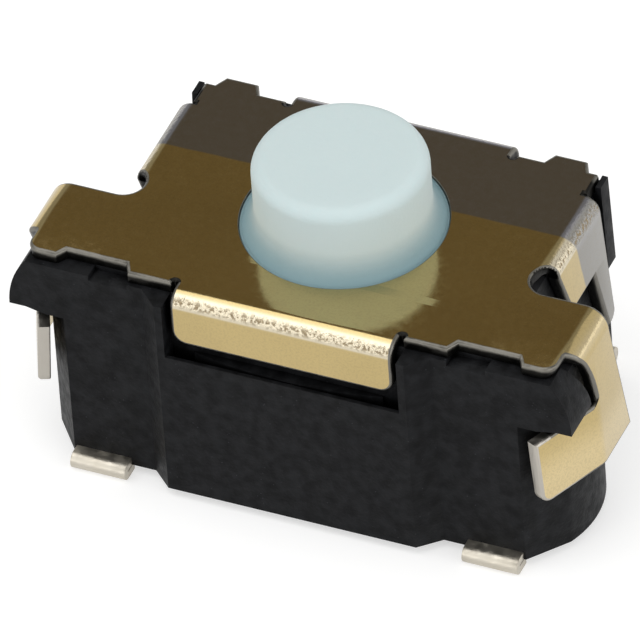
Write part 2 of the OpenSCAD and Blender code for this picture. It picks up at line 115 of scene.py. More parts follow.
# Cover
FLANGE_HALF_W = 1.20
FLANGE_H = 0.60
FLANGE_LINE = 1.50
FLANGE_BEND_R = 0.17
FLANGE_CORNER_R = 0.16
SLIT = 0.06
EDGE_Y = 1.47
RECESS_D, RECESS_X = 0.13, 1.73
SLOPE = 0.07
SMALL_STEP, TEAR = 0.02, 0.012
EAR_X, EAR_W, EAR_L, EAR_R = 2.80, 0.28, 0.30, 0.16
EAR_BENT = 0.09
EAR_FRONT = SMALL_STEP - EDGE_Y
EAR_BACK = EAR_FRONT + EAR_L
HOLE_R = 1.06
TAB_LINE, TAB_BEND_R, TAB_ANGLE, TAB_H = 2.78, 0.24, 86.5, 1.65
TAB_FLARE = 0.19
WING_BACK = 0.39
HOOK_Y, HOOK_BEND_R, HOOK_ANGLE = -0.83, 0.20, 25
HOOK_L, HOOK_H, HOOK_CORNER_R = 0.80, 0.785, 0.13
TAB_FRONT = HOOK_Y - SMALL_STEP
FLAP_LINE, FLAP_BEND_R, FLAP_H = 2.12, 0.18, 0.83
FLAP_FRONT, FLAP_BACK, FLAP_SLANT = 0.04, 1.14, 0.27
RELIEF_R, RELIEF_BITE = 0.215, 0.01
RELIEF_CENTRE = (FLAP_LINE - RELIEF_BITE + RELIEF_R, RELIEF_R - WING_BACK)
LEG_H, LEG_W, LEG_TIP_W, LEG_FLARE, LEG_CORNER_R = 1.73, 0.25, 0.17, 0.19, 0.12
REAR_EAR_X, REAR_EAR_W, REAR_EAR_OUT = 1.97, 0.35, 0.14
SILVER_FROM_Y, SILVER_LEAN = 0.46, 0.25

# Button
HEAD_R = 0.90
HEAD_RING_R = 0.6 * HEAD_R
HEAD_EDGE_R = 0.15
FLARE_R, FLARE_W, FLARE_DROP = 0.35, 0.13, 0.02
BUTTON_GAP, FLARE_GAP = 0.03, 0.006
SKIRT_T = 0.28
ROOF_T = 0.45
SHOULDER_ROUND = 0.03
TRAVEL = 0.25
NUB_R, NUB_CHAMFER = 0.35, 0.05

# Contacts
DOME_T, DOME_RIM_W, DOME_KEEP = 0.05, 0.10, 0.155
STRIP = 0.09
FOOT_W, FRONT_FOOT_X, REAR_FOOT_X = 0.60, 2.135, 1.825
FOOT_REACH, FOOT_TUCK, FOOT_COVER = 0.19, 0.06, 0.16
SIDE_W, CRANK_Y, CRANK_L = 0.40, 0.55, 0.50
RING_OUTER_R, RING_INNER_R = 1.23, 0.95
LINK_W, TONGUE_W, PAD_R = 0.70, 0.50, 0.30

# Finish of the edges and the bends
RIM_ROUND, HOLE_RIM, UNDER_RIM = 0.035, 0.010, 0.020
RIM_SEGMENTS = 4
FACE_SLOT, RIM_SLOT = 0, 1
MOULD_ROUND = 0.022
STRIP_ROUND = 0.03
SMOOTH_ANGLE = 35
FLAT_ANGLE = 0.5
BEND_BORDER = 0.012
BEND_ROW_ANGLE, LEAST_BEND_ROWS = 6, 6
TAB_CRINKLE, HOOK_CRINKLE, CRINKLE_SKEW = 0.15, 0.03, 1.6

# Cuts reach FAR out of a piece and EPS past its faces
FAR = 8.0
EPS = 0.01
# Distances within which points are joined, lie on a cut, or lie on the axis
WELD, ON_CUT, ON_AXIS = 1e-4, 1e-5, 1e-6


# Outlines and meshes

def arc(centre, radius, start, end, count=10):
    """Points along an arc."""
    points = []
    for i in range(count + 1):
        a = math.radians(start + (end - start) * i / count)
        points.append((centre[0] + radius * math.cos(a), centre[1] + radius * math.sin(a)))
    return points


def circle(radius, count):
    """Points of a full circle round the button's axis."""
    return arc((0, 0), radius, 0, 360 - 360 / count, count - 1)


def mirrored(points):
    """The same outline on the other side, run the other way round."""
    return [(-x, y) for x, y in reversed(points)]


def prism(outline, axis, low, high):
    """A closed mesh: an outline run along an axis. It is drawn in (y, z), (x, z) or (x, y)."""
    place = {
        "x": lambda a, b, c: (c, a, b),
        "y": lambda a, b, c: (a, c, b),
        "z": lambda a, b, c: (a, b, c),
    }[axis]
    bm = bmesh.new()
    first = [bm.verts.new(place(a, b, low)) for a, b in outline]
    last = [bm.verts.new(place(a, b, high)) for a, b in outline]
    bm.faces.new(first)
    bm.faces.new(last)
    for i in range(len(outline)):
        j = (i + 1) % len(outline)
        bm.faces.new((first[i], first[j], last[j], last[i]))
    bmesh.ops.recalc_face_normals(bm, faces=bm.faces)
    return bm


def block(low, high):
    """A closed box between two corners."""
    outline = [(low[0], low[1]), (high[0], low[1]), (high[0], high[1]), (low[0], high[1])]
    return prism(outline, "z", low[2], high[2])


def lathe(profile, count):
    """A closed mesh: a profile in (radius, z), from the axis to the axis, turned about Z."""
    bm = bmesh.new()
    rings = []
    for r, z in profile:
        if r < ON_AXIS:
            rings.append([bm.verts.new((0, 0, z))])
            continue
        steps = (2 * math.pi * i / count for i in range(count))
        rings.append([bm.verts.new((r * math.cos(a), r * math.sin(a), z)) for a in steps])
    for low, high in zip(rings, rings[1:]):
        for i in range(count):
            j = (i + 1) % count
            corners = [low[i % len(low)], low[j % len(low)]]
            corners += [high[j % len(high)], high[i % len(high)]]
            # A ring of one point leaves a corner twice, which makes a triangle
            bm.faces.new(list(dict.fromkeys(corners)))
    bmesh.ops.recalc_face_normals(bm, faces=bm.faces)
    return bm


def loose_object(bm, name="tool"):
    """An object that holds a mesh, in the scene's collection."""
    mesh = bpy.data.meshes.new(name)
    bm.to_mesh(mesh)
    bm.free()
    thing = bpy.data.objects.new(name, mesh)
    bpy.context.scene.collection.objects.link(thing)
    return thing


def mirror_mesh(bm):
    """Turns a mesh into its mirror image on the other side."""
    bm.transform(Matrix.Scale(-1, 4, (1, 0, 0)))
    bmesh.ops.reverse_faces(bm, faces=bm.faces)


def both(right):
    """A mesh on the right and its mirror image on the left."""
    left = right.copy()
    mirror_mesh(left)
    return [right, left]


def carve(base, steps):
    """The mesh of base after a list of boolean steps, each of them (operation, mesh)."""
    body = loose_object(base, "base")
    tools = []
    for operation, bm in steps:
        tool = loose_object(bm)
        tools.append(tool)
        step = body.modifiers.new("step", "BOOLEAN")
        step.operation = operation
        step.solver = "EXACT"
        step.object = tool
    graph = bpy.context.evaluated_depsgraph_get()
    result = bmesh.new()
    result.from_mesh(body.evaluated_get(graph).to_mesh())
    for thing in tools + [body]:
        bpy.data.objects.remove(thing)
    bmesh.ops.remove_doubles(result, verts=result.verts, dist=WELD)
    bmesh.ops.dissolve_limit(
        result, angle_limit=math.radians(FLAT_ANGLE), verts=result.verts, edges=result.edges,
    )
    return result


def soften(bm, width, least_angle=25.0, segments=3):
    """Rounds the convex edges of a mesh that are sharper than a given angle."""
    convex = [e for e in bm.edges if len(e.link_faces) == 2 and e.is_convex]
    sharp = [e for e in convex if math.degrees(e.calc_face_angle()) > least_angle]
    bmesh.ops.bevel(
        bm, geom=sharp, offset=width, offset_type="OFFSET", segments=segments,
        profile=0.5, affect="EDGES", clamp_overlap=True,
    )


def piece(name, bm, body, nodes, materials):
    """A finished piece in metres that rides on a body and stands for CAD nodes."""
    bm.transform(Matrix.Scale(MM, 4))
    thing = loose_object(bm, name)
    mesh = thing.data
    for material in materials:
        mesh.materials.append(material)
    mesh.shade_smooth()
    mesh.set_sharp_from_angle(angle=math.radians(SMOOTH_ANGLE))
    weighted = thing.modifiers.new("weighted normals", "WEIGHTED_NORMAL")
    weighted.keep_sharp = True
    weighted.weight = 100
    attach(thing, body)
    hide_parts(*nodes)
    return thing


# Materials

GOLD, STAINED_GOLD = (0.58, 0.45, 0.21), (0.551, 0.4275, 0.1995)
# The last colours on this line and the next are the bends' paler plating: partly wear, partly a
# painted highlight
PALE_GOLD, WORN_AND_LIT_GOLD = (0.73, 0.59, 0.33), (0.74, 0.66, 0.50)
SILVER, DULL_SILVER, WORN_AND_LIT_SILVER = (0.34, 0.332, 0.36), (0.27, 0.26, 0.24), (0.36, 0.35, 0.33)
# Colour of dark specks, and of the painted shade in the troughs of the crinkles
DARK_SPECK_AND_CREASE_SHADE = (0.26, 0.20, 0.12)
ROLLED_DARK, ROLLED_LIGHT = (0.08, 0.076, 0.068), (0.30, 0.285, 0.25)
# The next line holds the painted highlight of the hook's cut edge, and the torn colour, which also
# stands as painted shade
PAINTED_LIT_CUT, TORN_AND_SHADE = (0.50, 0.47, 0.42), (0.022, 0.021, 0.019)
BLACK, WORN_BLACK = (0.0042, 0.0044, 0.0050), (0.0125, 0.013, 0.0145)
# The second colour on the next line is painted shade for the moulding's crevices
DUST, PAINTED_CREVICE_SHADE = (0.04, 0.042, 0.047), (0.0015, 0.0015, 0.0015)
# The last colour on the next line is painted shade for the button's foot
PALE_BLUE, PALER_BLUE, SHADED_BLUE = (0.595, 0.70, 0.71), (0.625, 0.725, 0.73), (0.23, 0.345, 0.375)
SPRING, DULL_SPRING = (0.62, 0.62, 0.60), (0.52, 0.52, 0.5)
STRIP_SILVER, DULL_STRIP = (0.71, 0.67, 0.59), (0.56, 0.51, 0.42)

# Heights between which the gold turns pale and the silver dull
PALE_GOLD_Z, DULL_SILVER_Z = (1.75, 1.25), (2.6, 2.4)
# How far the line between the two wanders, and how wide it is
LINE_WANDER, LINE_BLUR = 0.03, 0.03
# How near a wall the painted shade darkens the moulding, and how far up the painted shade at the
# button's foot reaches
SHADE_REACH, FOOT_SHADE_H = 0.25, 0.37

# Numbers of the sockets of a mix node that belong to colours
MIX_FIRST, MIX_SECOND, MIX_RESULT = 6, 7, 2


def empty_tree(owner):
    """The emptied node tree of a material or a world."""
    owner.use_nodes = True
    owner.node_tree.nodes.clear()
    return owner.node_tree


def add(tree, kind, inputs=None, **settings):
    """A node with its settings, and its inputs as values or as links."""
    made = tree.nodes.new(kind)
    for key, value in settings.items():
        setattr(made, key, value)
    for key, value in (inputs or {}).items():
        if isinstance(value, bpy.types.NodeSocket):
            tree.links.new(value, made.inputs[key])
        else:
            made.inputs[key].default_value = value
    return made


def principled(tree, inputs):
    """The surface of a material, as a shader with its inputs."""
    shader = add(tree, "ShaderNodeBsdfPrincipled", inputs)
    add(tree, "ShaderNodeOutputMaterial", {"Surface": shader.outputs[0]})


def maths(tree, operation, *values):
    """The result of one arithmetic operation on values or links."""
    inputs = dict(enumerate(values))
    return add(tree, "ShaderNodeMath", inputs, operation=operation).outputs[0]


def times(tree, first, second):
    """The product of two values."""
    return maths(tree, "MULTIPLY", first, second)


def stretched(tree, where, factors):
    """Coordinates multiplied along each axis."""
    inputs = {0: where, 1: factors}
    return add(tree, "ShaderNodeVectorMath", inputs, operation="MULTIPLY").outputs[0]


def place_of(tree):
    """Coordinates fixed to the piece, in millimetres."""
    return stretched(tree, add(tree, "ShaderNodeTexCoord").outputs["Object"], (1 / MM,) * 3)


def noise(tree, where, per_mm, detail=2.0):
    """A noise value with a number of features per millimetre, and finer octaves as detail."""
    inputs = {"Vector": where, "Scale": per_mm, "Detail": detail}
    return add(tree, "ShaderNodeTexNoise", inputs).outputs["Fac"]


def ramp(tree, value, low, high, out_low=0.0, out_high=1.0):
    """A value mapped smoothly from one range to another."""
    inputs = {
        "Value": value, "From Min": low, "From Max": high, "To Min": out_low, "To Max": out_high,
    }
    made = add(tree, "ShaderNodeMapRange", inputs, interpolation_type="SMOOTHSTEP")
    return made.outputs["Result"]


def blend_colours(tree, factor, first, second):
    """A mix of two colours."""
    inputs = {"Factor": factor}
    for key, colour in ((MIX_FIRST, first), (MIX_SECOND, second)):
        inputs[key] = colour if isinstance(colour, bpy.types.NodeSocket) else (*colour, 1)
    return add(tree, "ShaderNodeMix", inputs, data_type="RGBA").outputs[MIX_RESULT]


def bump(tree, height, depth_mm, normal=None):
    """Relief of a given depth from a height value, on top of another relief."""
    inputs = {"Height": height, "Distance": depth_mm * MM}
    if normal:
        inputs["Normal"] = normal
    return add(tree, "ShaderNodeBump", inputs).outputs["Normal"]


def plated_sheet():
    """Polished sheet: gold in tone, silver plated behind a line, crinkled in its bends, which are
    paler, partly from wear and partly as a painted highlight, with painted shade in the troughs of
    the crinkles.
    """
    material = bpy.data.materials.new("plated sheet")
    tree = empty_tree(material)
    where = place_of(tree)
    axes = add(tree, "ShaderNodeSeparateXYZ", {"Vector": where}).outputs
    depth = maths(tree, "SUBTRACT", COVER_TOP, axes["Z"])
    line = maths(tree, "MULTIPLY_ADD", depth, -SILVER_LEAN, axes["Y"])
    line = maths(tree, "MULTIPLY_ADD", noise(tree, where, 3.0), LINE_WANDER, line)
    silver_part = ramp(tree, line, SILVER_FROM_Y, SILVER_FROM_Y + LINE_BLUR)
    stain = ramp(tree, noise(tree, where, 1.2, 4.0), 0.35, 0.7)
    gold = blend_colours(tree, stain, GOLD, STAINED_GOLD)
    gold = blend_colours(tree, ramp(tree, axes["Z"], *PALE_GOLD_Z), gold, PALE_GOLD)
    silver = blend_colours(tree, ramp(tree, axes["Z"], *DULL_SILVER_Z), SILVER, DULL_SILVER)
    plating = blend_colours(tree, silver_part, gold, silver)
    speck = ramp(tree, noise(tree, where, 45.0, 3.0), 0.42, 0.68, 0.0, 0.16)
    plating = blend_colours(tree, speck, plating, DARK_SPECK_AND_CREASE_SHADE)
    in_bend = add(tree, "ShaderNodeAttribute", attribute_name="bend").outputs["Fac"]
    # Paler plating in the bends: partly wear, partly a painted highlight
    worn_and_lit = blend_colours(tree, silver_part, WORN_AND_LIT_GOLD, WORN_AND_LIT_SILVER)
    plating = blend_colours(tree, ramp(tree, in_bend, 0.0, 0.35), plating, worn_and_lit)
    wrinkle = noise(tree, where, 28.0, 4.0)
    # Painted shade: the troughs of the crinkles in the bends are darkened
    groove = times(tree, ramp(tree, wrinkle, 0.54, 0.40), times(tree, in_bend, in_bend))
    ripple = bump(tree, noise(tree, where, 1.6), 0.002)
    principled(tree, {
        "Metallic": 1.0,
        "Base Color": blend_colours(tree, groove, plating, DARK_SPECK_AND_CREASE_SHADE),
        "Roughness": ramp(tree, noise(tree, where, 14.0, 5.0), 0.3, 0.75, 0.10, 0.17),
        "Normal": bump(tree, times(tree, wrinkle, in_bend), 0.02, ripple),
    })
    return material


def sheared_edge():
    """Cut edge of the sheet: a rolled upper part above a torn one that is darkened as painted
    shade, with a painted highlight on the hook.
    """
    material = bpy.data.materials.new("sheared edge")
    tree = empty_tree(material)
    depth = add(tree, "ShaderNodeAttribute", attribute_name="depth").outputs["Fac"]
    streak = noise(tree, stretched(tree, place_of(tree), (1.0, 1.0, 0.3)), 10.0, 4.0)
    # Painted shade: the lower, torn part of the edge is darkened, and all of it in slits
    torn_and_shade = ramp(tree, maths(tree, "MULTIPLY_ADD", streak, 0.04, depth), 0.045, 0.08)
    # Painted highlight: the hook's rim is given a bright colour
    lit_hook = ramp(tree, depth, -0.02, -0.10)
    rolled = blend_colours(tree, streak, ROLLED_DARK, ROLLED_LIGHT)
    rolled = blend_colours(tree, lit_hook, rolled, PAINTED_LIT_CUT)
    principled(tree, {
        "Metallic": 1.0,
        "Base Color": blend_colours(tree, torn_and_shade, rolled, TORN_AND_SHADE),
        "Roughness": ramp(tree, streak, 0.3, 0.7, 0.32, 0.5),
        "Normal": bump(tree, streak, 0.01),
    })
    return material


def black_moulding():
    """Black moulded resin with a matt, blotchy skin, specks of dust, and painted shade that
    darkens its crevices.
    """
    material = bpy.data.materials.new("black moulding")
    tree = empty_tree(material)
    where = place_of(tree)
    cloud = ramp(tree, noise(tree, where, 7.0, 5.0), 0.3, 0.7)
    base = blend_colours(tree, cloud, BLACK, WORN_BLACK)
    cells = add(tree, "ShaderNodeTexVoronoi", {"Vector": where, "Scale": 16.0})
    speck = ramp(tree, cells.outputs["Distance"], 0.13, 0.05)
    sparse = ramp(tree, noise(tree, where, 5.0), 0.5, 0.62)
    dusty = blend_colours(tree, times(tree, speck, sparse), base, DUST)
    # Painted shade: near walls and in recesses the colour darkens and the sheen dims, by ambient
    # occlusion
    reach = {"Distance": SHADE_REACH * MM}
    open_air = add(tree, "ShaderNodeAmbientOcclusion", reach, samples=8).outputs["AO"]
    crevice_shade = ramp(tree, open_air, 0.5, 0.2)
    wave = bump(tree, noise(tree, where, 2.5, 3.0), 0.006)
    principled(tree, {
        "Base Color": blend_colours(tree, crevice_shade, dusty, PAINTED_CREVICE_SHADE),
        "Specular IOR Level": ramp(tree, crevice_shade, 0.0, 1.0, 0.11, 0.03),
        "Roughness": ramp(tree, noise(tree, where, 10.0, 6.0), 0.3, 0.7, 0.42, 0.58),
        "Normal": bump(tree, noise(tree, where, 30.0, 4.0), 0.004, wave),
    })
    return material


def blue_plastic():
    """Pale blue moulded plastic, matt, with painted shade that makes it darker and bluer at its
    foot.
    """
    material = bpy.data.materials.new("pale blue plastic")
    tree = empty_tree(material)
    where = place_of(tree)
    pale = blend_colours(tree, noise(tree, where, 1.2, 4.0), PALE_BLUE, PALER_BLUE)
    z = add(tree, "ShaderNodeSeparateXYZ", {"Vector": where}).outputs["Z"]
    # Painted shade: the colour turns darker and bluer down towards the foot, where it sinks into
    # the hole
    foot_z = COVER_TOP - FLARE_DROP
    height = ramp(tree, z, foot_z, foot_z + FOOT_SHADE_H)
    principled(tree, {
        "Base Color": blend_colours(tree, height, SHADED_BLUE, pale),
        "Roughness": ramp(tree, noise(tree, where, 12.0, 5.0), 0.3, 0.7, 0.6, 0.72),
        "Specular IOR Level": 0.2,
        "Subsurface Weight": 0.35,
        "Subsurface Radius": (0.8, 1.0, 1.0),
        "Subsurface Scale": 0.10 * MM,
        "Normal": bump(tree, noise(tree, where, 26.0, 4.0), 0.003),
    })
    return material


def bright_strip(name, colour, dull, crumple_depth):
    """Bright strip metal, dull in places, with a crumpled skin."""
    material = bpy.data.materials.new(name)
    tree = empty_tree(material)
    where = place_of(tree)
    principled(tree, {
        "Metallic": 1.0,
        "Base Color": blend_colours(tree, noise(tree, where, 4.0, 4.0), colour, dull),
        "Roughness": ramp(tree, noise(tree, where, 9.0, 4.0), 0.3, 0.7, 0.3, 0.48),
        "Normal": bump(tree, noise(tree, where, 12.0, 4.0), crumple_depth),
    })
    return material


# Cover: a flat blank is cut, its rim rounded, and then each part is bent

def bend(s, d, radius, angle):
    """Where a point goes that lies s past a bend line and d under the outer face."""
    if s <= 0:
        return s, d
    turn = math.radians(angle)
    a = min(s / radius, turn)
    rest = max(0.0, s - radius * turn)
    along = (radius - d) * math.sin(a) + rest * math.cos(a)
    down = radius - (radius - d) * math.cos(a) + rest * math.sin(a)
    return along, down


def flat_length(drop, radius, angle):
    """Distance past the bend line at which the outer face has come down by drop."""
    turn = math.radians(angle)
    bent = radius * (1 - math.cos(turn))
    if drop < bent:
        return radius * math.acos(1 - drop / radius)
    return radius * turn + (drop - bent) / math.sin(turn)


def tab_edge(rows=8):
    """Front edge of the end tab, from the ear down, in (drop below the top, y)."""
    points = []
    for i in range(rows + 1):
        s = i / rows
        drop = SMALL_STEP + (TAB_H - HOOK_H - SMALL_STEP) * s
        points.append((drop, EAR_BACK + (TAB_FRONT - EAR_BACK) * (1 - (1 - s) ** 2)))
    return points


def blank_outline():
    """Right half of the flat blank, from the front end of the centre line to its rear end."""
    flange_end = FLANGE_LINE + flat_length(FLANGE_H, FLANGE_BEND_R, 90)
    corner_x = FLANGE_HALF_W - FLANGE_CORNER_R
    corner_y = flange_end - FLANGE_CORNER_R
    recess_end = EAR_X - EAR_W
    ear_out = TAB_LINE + EAR_BENT
    tab_end = TAB_LINE + TAB_BEND_R * math.radians(TAB_ANGLE) + TAB_H - TAB_BEND_R
    hook_top = tab_end - HOOK_H
    hook_end = HOOK_Y - HOOK_BEND_R * math.radians(HOOK_ANGLE) - HOOK_L
    flap_root = FLAP_LINE + FLAP_BEND_R * math.pi / 2
    flap_end = flap_root + FLAP_H - FLAP_BEND_R
    leg_end = flap_root + LEG_H - FLAP_BEND_R
    leg_back = FLAP_BACK + LEG_FLARE
    rear_ear_in = REAR_EAR_X - REAR_EAR_W
    return [
        (0, -flange_end),
        *arc((corner_x, -corner_y), FLANGE_CORNER_R, -90, 0),
        (FLANGE_HALF_W, SLIT - FLANGE_LINE),
        *arc((FLANGE_HALF_W + SLIT / 2, SLIT - FLANGE_LINE), SLIT / 2, 180, 0, 6)[1:-1],
        (FLANGE_HALF_W + SLIT, SLIT - FLANGE_LINE),
        (FLANGE_HALF_W + SLIT, -EDGE_Y),
        (RECESS_X, -EDGE_Y),
        (RECESS_X + SLOPE, RECESS_D - EDGE_Y),
        (recess_end - SLOPE, RECESS_D - EDGE_Y),
        (recess_end, EAR_FRONT),
        *arc((ear_out - EAR_R, EAR_FRONT + EAR_R), EAR_R, -90, 0),
        (ear_out, EAR_BACK - SMALL_STEP),
        *((TAB_LINE + flat_length(drop, TAB_BEND_R, TAB_ANGLE), y) for drop, y in tab_edge()),
        (hook_top, HOOK_Y),
        (hook_top, hook_end),
        *arc((tab_end - HOOK_CORNER_R, hook_end + HOOK_CORNER_R), HOOK_CORNER_R, -90, 0),
        (tab_end, TAB_FLARE - WING_BACK),
        (TAB_LINE + flat_length(TAB_BEND_R, TAB_BEND_R, TAB_ANGLE), -WING_BACK),
        *arc(RELIEF_CENTRE, RELIEF_R, -90, -270, 20),
        (flap_root, FLAP_FRONT),
        (flap_end, FLAP_FRONT + FLAP_SLANT),
        (flap_end, FLAP_BACK - LEG_W),
        (leg_end, leg_back - LEG_TIP_W),
        *arc((leg_end - LEG_CORNER_R, leg_back - LEG_CORNER_R), LEG_CORNER_R, 0, 90),
        (flap_root, FLAP_BACK),
        (FLAP_LINE, FLAP_BACK),
        (FLAP_LINE, FLAP_BACK + TEAR),
        (REAR_X, FLAP_BACK + TEAR),
        (REAR_X, EDGE_Y - SMALL_STEP),
        (REAR_X - SMALL_STEP, EDGE_Y),
        (REAR_EAR_X + SLOPE, EDGE_Y),
        (REAR_EAR_X, EDGE_Y + REAR_EAR_OUT),
        (rear_ear_in, EDGE_Y + REAR_EAR_OUT),
        (rear_ear_in - SLOPE, EDGE_Y),
        (FLANGE_HALF_W + SLIT, EDGE_Y),
        (FLANGE_HALF_W + SLIT, FLANGE_LINE - SLIT),
        *arc((FLANGE_HALF_W + SLIT / 2, FLANGE_LINE - SLIT), SLIT / 2, 0, -180, 6)[1:-1],
        (FLANGE_HALF_W, FLANGE_LINE - SLIT),
        *arc((corner_x, corner_y), FLANGE_CORNER_R, 0, 90),
        (0, flange_end),
    ]


def half_blank():
    """Right half of the blank as a plate, open along the centre line."""
    hole = arc((0, 0), HOLE_R, 90, -90, 72)
    outline = blank_outline() + hole
    bm = bmesh.new()
    top = [bm.verts.new((x, y, 0)) for x, y in outline]
    under = [bm.verts.new((x, y, -SHEET)) for x, y in outline]
    bm.faces.new(top)
    bm.faces.new(under)
    for i in range(len(outline)):
        j = (i + 1) % len(outline)
        if abs(outline[i][0]) < ON_AXIS and abs(outline[j][0]) < ON_AXIS:
            continue
        bm.faces.new((top[i], top[j], under[j], under[i]))
    bmesh.ops.recalc_face_normals(bm, faces=bm.faces)
    for face in bm.faces:
        face.material_index = FACE_SLOT if abs(face.normal.z) > 0.5 else RIM_SLOT
    weights = bm.edges.layers.float.new("bevel_weight_edge")
    for edge in bm.edges:
        if len(edge.link_faces) == 2:
            edge[weights] = rim_width(edge) / RIM_ROUND
    return rounded_rim(bm)


def rim_width(edge):
    """How far an edge of the blank is rounded: one width round its outline, less in the hole."""
    if any(v.co.z < -EPS for v in edge.verts):
        return UNDER_RIM if all(v.co.z < -EPS for v in edge.verts) else 0.0
    in_hole = all(v.co.xy.length < HOLE_R + EPS for v in edge.verts)
    return HOLE_RIM if in_hole else RIM_ROUND


def rounded_rim(bm):
    """The mesh with each edge rounded by its weight, in the material of the cut edges."""
    plate = loose_object(bm, "plate")
    # The modifier gives the rims their slot only where the plate has slots, which stay empty
    for _ in (FACE_SLOT, RIM_SLOT):
        plate.data.materials.append(None)
    step = plate.modifiers.new("rim", "BEVEL")
    step.limit_method = "WEIGHT"
    step.width = RIM_ROUND
    step.segments = RIM_SEGMENTS
    step.material = RIM_SLOT
    step.use_clamp_overlap = False
    graph = bpy.context.evaluated_depsgraph_get()
    result = bmesh.new()
    result.from_mesh(plate.evaluated_get(graph).to_mesh())
    bpy.data.objects.remove(plate)
    return result


def cut_depth(p):
    """Depth in the sheet as the cut edge shows it: painted shade in slits, and a painted highlight
    on the hook.
    """
    in_slit = abs(p.x - FLANGE_HALF_W - SLIT / 2) < SLIT
    in_slit = in_slit and FLANGE_LINE - 3 * SLIT < abs(p.y) < EDGE_Y - RIM_ROUND
    in_tear = abs(p.y - FLAP_BACK) < 4 * TEAR and FLAP_LINE - 2 * SLIT < p.x < REAR_X + EPS
    in_relief = (p.xy - Vector(RELIEF_CENTRE)).length < RELIEF_R + EPS
    # Painted shade: slits, the tear and the relief take the depth that shows the dark torn colour
    if in_slit or in_tear or in_relief:
        return SHEET
    # Painted highlight: the hook's rim takes the depth that shows the bright colour
    on_hook = p.x > TAB_LINE + TAB_H - HOOK_H - EPS and p.y < HOOK_Y - HOOK_BEND_R
    on_rim = p.x > TAB_LINE + TAB_H or p.y < -FLANGE_LINE
    return -SHEET if on_hook and on_rim else -p.z


def slice_blank(bm):
    """Rows of faces across each bend, so that it comes out round, with a border beside it."""
    cuts = []
    for line, radius, angle, axis, sign in (
        (TAB_LINE, TAB_BEND_R, TAB_ANGLE, 0, 1),
        (FLAP_LINE, FLAP_BEND_R, 90, 0, 1),
        (FLANGE_LINE, FLANGE_BEND_R, 90, 1, 1),
        (FLANGE_LINE, FLANGE_BEND_R, 90, 1, -1),
        (-HOOK_Y, HOOK_BEND_R, HOOK_ANGLE, 1, -1),
    ):
        rows = max(LEAST_BEND_ROWS, round(angle / BEND_ROW_ANGLE))
        width = radius * math.radians(angle)
        cuts += [(axis, sign * (line + width * i / rows)) for i in range(rows + 1)]
        cuts += [(axis, sign * (line - BEND_BORDER)), (axis, sign * (line + width + BEND_BORDER))]
    for axis, value in cuts:
        point = Vector((0, 0, 0))
        normal = Vector((0, 0, 0))
        point[axis] = value
        normal[axis] = 1
        everything = bm.verts[:] + bm.edges[:] + bm.faces[:]
        bmesh.ops.bisect_plane(
            bm, geom=everything, dist=ON_CUT, plane_co=point, plane_no=normal,
        )


def crinkle(s, radius, angle, most):
    """How far a bend is crinkled at a distance past its line, up to a given value."""
    share = s / (radius * math.radians(angle))
    return most * math.sin(math.pi * share ** CRINKLE_SKEW) ** 2 if 0 < share < 1 else 0.0


def bent_place(p):
    """Where a point of the flat blank goes, and how far it is crinkled, from 0 to 1."""
    x, y, d = p.x, p.y, -p.z
    if abs(y) > FLANGE_LINE and x < FLANGE_HALF_W + SLIT:
        s = abs(y) - FLANGE_LINE
        along, down = bend(s, d, FLANGE_BEND_R, 90)
        place = Vector((x, math.copysign(FLANGE_LINE + along, y), COVER_TOP - down))
        return place, crinkle(s, FLANGE_BEND_R, 90, 1.0)
    if x > TAB_LINE and y < RELIEF_R - WING_BACK:
        weight = crinkle(x - TAB_LINE, TAB_BEND_R, TAB_ANGLE, TAB_CRINKLE)
        if y < HOOK_Y and x > TAB_LINE + TAB_H - HOOK_H:
            past = HOOK_Y - y
            weight = max(weight, crinkle(past, HOOK_BEND_R, HOOK_ANGLE, HOOK_CRINKLE))
            along, d = bend(past, d, HOOK_BEND_R, HOOK_ANGLE)
            y = HOOK_Y - along
        along, down = bend(x - TAB_LINE, d, TAB_BEND_R, TAB_ANGLE)
        return Vector((TAB_LINE + along, y, COVER_TOP - down)), weight
    beside_flap = RELIEF_R - WING_BACK < y < FLAP_BACK + LEG_FLARE + EPS
    behind_tear = y > FLAP_BACK + TEAR / 2 and x < REAR_X + EPS
    if x > FLAP_LINE and beside_flap and not behind_tear:
        s = x - FLAP_LINE
        along, down = bend(s, d, FLAP_BEND_R, 90)
        place = Vector((FLAP_LINE + along, y, COVER_TOP - down))
        return place, crinkle(s, FLAP_BEND_R, 90, 1.0)
    return Vector((x, y, COVER_TOP - d)), 0.0


def make_cover():
    """The whole cover: half a blank, sliced, mirrored, closed and bent."""
    bm = half_blank()
    slice_blank(bm)
    bend_layer = bm.verts.layers.float.new("bend")
    depth_layer = bm.verts.layers.float.new("depth")
    for vert in bm.verts:
        vert[depth_layer] = cut_depth(vert.co)
        vert.co, vert[bend_layer] = bent_place(vert.co)
    left = bmesh.ops.duplicate(bm, geom=bm.verts[:] + bm.edges[:] + bm.faces[:])["geom"]
    left_verts = [g for g in left if isinstance(g, bmesh.types.BMVert)]
    left_faces = [g for g in left if isinstance(g, bmesh.types.BMFace)]
    bmesh.ops.scale(bm, vec=(-1, 1, 1), verts=left_verts)
    bmesh.ops.reverse_faces(bm, faces=left_faces)
    seam = [v for v in bm.verts if abs(v.co.x) < ON_CUT]
    bmesh.ops.remove_doubles(bm, verts=seam, dist=WELD)
    materials = [plated_sheet(), sheared_edge()]
    piece("stamped_cover", bm, "base", ["cover"], materials)


# Housing

def core_outline():
    """The proud centre sections and the narrow rear half, seen from above."""
    half = [
        (CENTRE_X, -FACE_Y), (STEP_X, -COLUMN_Y), (REAR_X, -COLUMN_Y),
        (REAR_X, COLUMN_Y), (STEP_X, COLUMN_Y), (CENTRE_X, FACE_Y),
    ]
    return half + mirrored(half)


